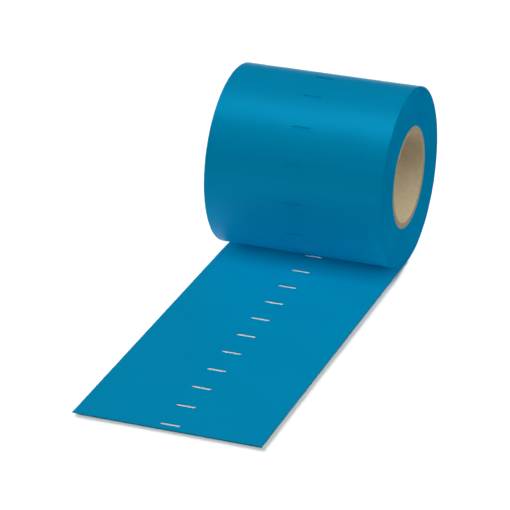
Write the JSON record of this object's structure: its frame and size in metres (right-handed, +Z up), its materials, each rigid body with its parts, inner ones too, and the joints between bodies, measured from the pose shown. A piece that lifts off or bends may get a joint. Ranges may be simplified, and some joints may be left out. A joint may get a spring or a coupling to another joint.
{
  "type": "slotted plastic strip roll",
  "caption": "Roll of wide blue plastic strip with a centre row of sensor slots, wound on a paper core, free end laid flat.",
  "frame": {"origin": "on the resting surface, in the middle of the footprint of the roll and its laid-out end", "axes": "+X along the roll's axis, -Y along the free end to its cut edge, +Z up"},
  "size_m": [0.1524, 0.422, 0.152],
  "materials": {
    "blue_film": "satin, smooth calendered film",
    "core_board": "matt",
    "core_liner": "matt",
    "adhesive_tape": "matt"
  },
  "bodies": {
    "strip": {"strip_outer_turn": "blue_film", "strip_tail": "blue_film"},
    "roll": {"core_inner_ply": "core_liner", "core_body": "core_board", "core_outer_ply": "core_liner", "starter_tape": "adhesive_tape", "strip_first_turn": "blue_film", "strip_wound_turns": "blue_film"},
    "tail_end": {"strip_tail_end": "blue_film"}
  },
  "joints": [
    {"name": "roll_turn", "type": "hinge", "parent": "strip", "child": "roll", "pos_m": [0, 0.135, 0.076], "axis": [1, 0, 0], "continuous": true},
    {"name": "tail_lift", "type": "hinge", "parent": "strip", "child": "tail_end", "pos_m": [0, 0.0685, 0.0003], "axis": [-1, 0, 0], "range_deg": [0, 70]}
  ]
}
